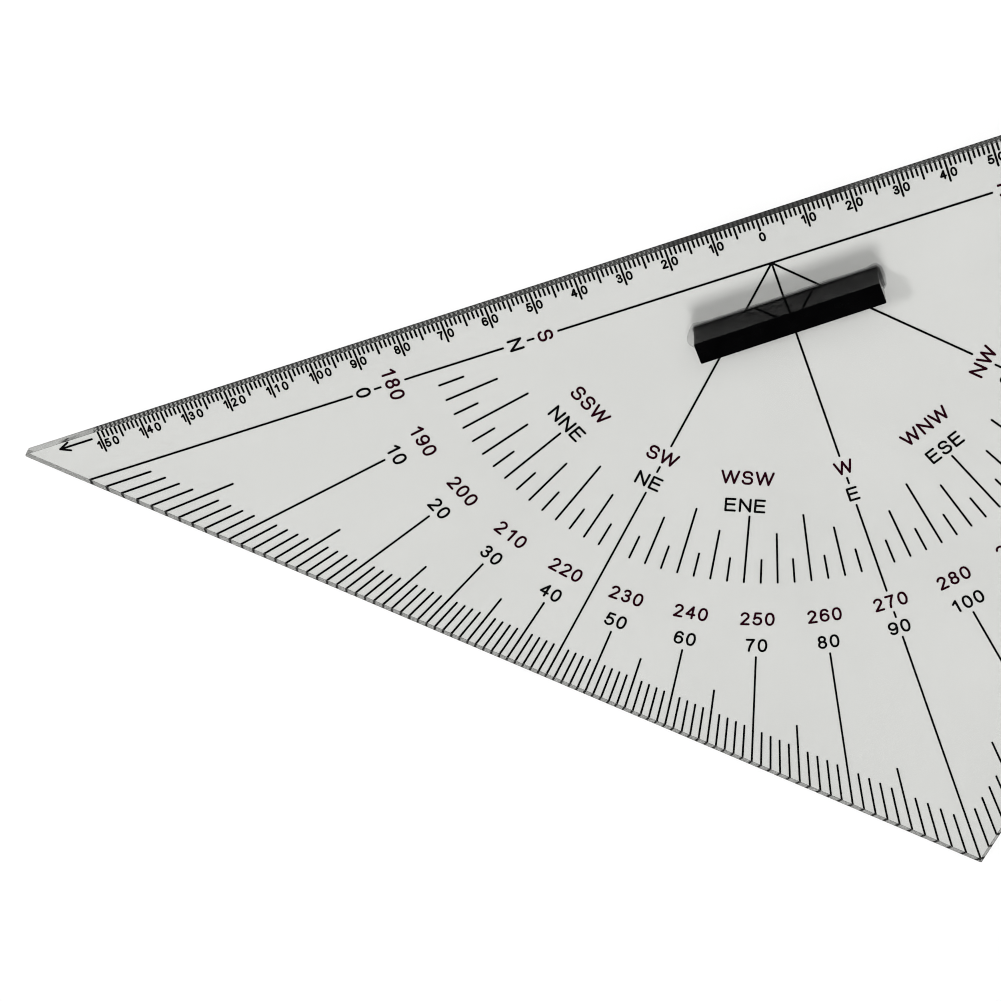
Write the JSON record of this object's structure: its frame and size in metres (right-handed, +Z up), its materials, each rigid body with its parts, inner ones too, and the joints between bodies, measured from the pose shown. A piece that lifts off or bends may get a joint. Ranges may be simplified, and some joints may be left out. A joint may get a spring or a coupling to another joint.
{
  "type": "nautical protractor triangle",
  "caption": "Clear right-angled plotting triangle with a millimetre ruling edge, a degree scale and compass rose in black and red, and a black grip bar.",
  "frame": {"origin": "the protractor's centre mark, on the plate's underside", "axes": "+X along the hypotenuse, to the right when the plate lies on a chart with its hypotenuse away from the reader; +Y square to the hypotenuse, towards it; +Z up through the plate to the side the grip bar is on"},
  "size_m": [0.3334, 0.1671, 0.0121],
  "materials": {
    "clear_acrylic": "clear acrylic sheet, polished faces, plain cut edges",
    "black_acrylic": "polished",
    "clear_cement": "clear, dull where it has run out",
    "black_paint": "matt paint in the engraving",
    "red_paint": "matt dark red paint in the engraving"
  },
  "bodies": {
    "root": {"plate": "clear_acrylic", "handle_bar": "black_acrylic", "cement_bond": "clear_cement", "scale_ticks_1mm": "black_paint", "scale_ticks_5mm": "black_paint", "scale_ticks_10mm": "black_paint", "scale_figures_left": "black_paint", "scale_figures_right": "black_paint", "tip_arrows": "black_paint", "base_line": "black_paint", "right_angle_line": "black_paint", "diagonal_lines": "black_paint", "degree_ticks_1": "black_paint", "degree_ticks_5": "black_paint", "degree_lines_10": "black_paint", "degree_figures_black": "black_paint", "compass_quarter_points": "black_paint", "compass_half_points": "black_paint", "compass_points": "black_paint", "compass_letters_black": "black_paint", "reciprocal_figures_red": "red_paint", "compass_letters_red": "red_paint"}
  },
  "joints": []
}
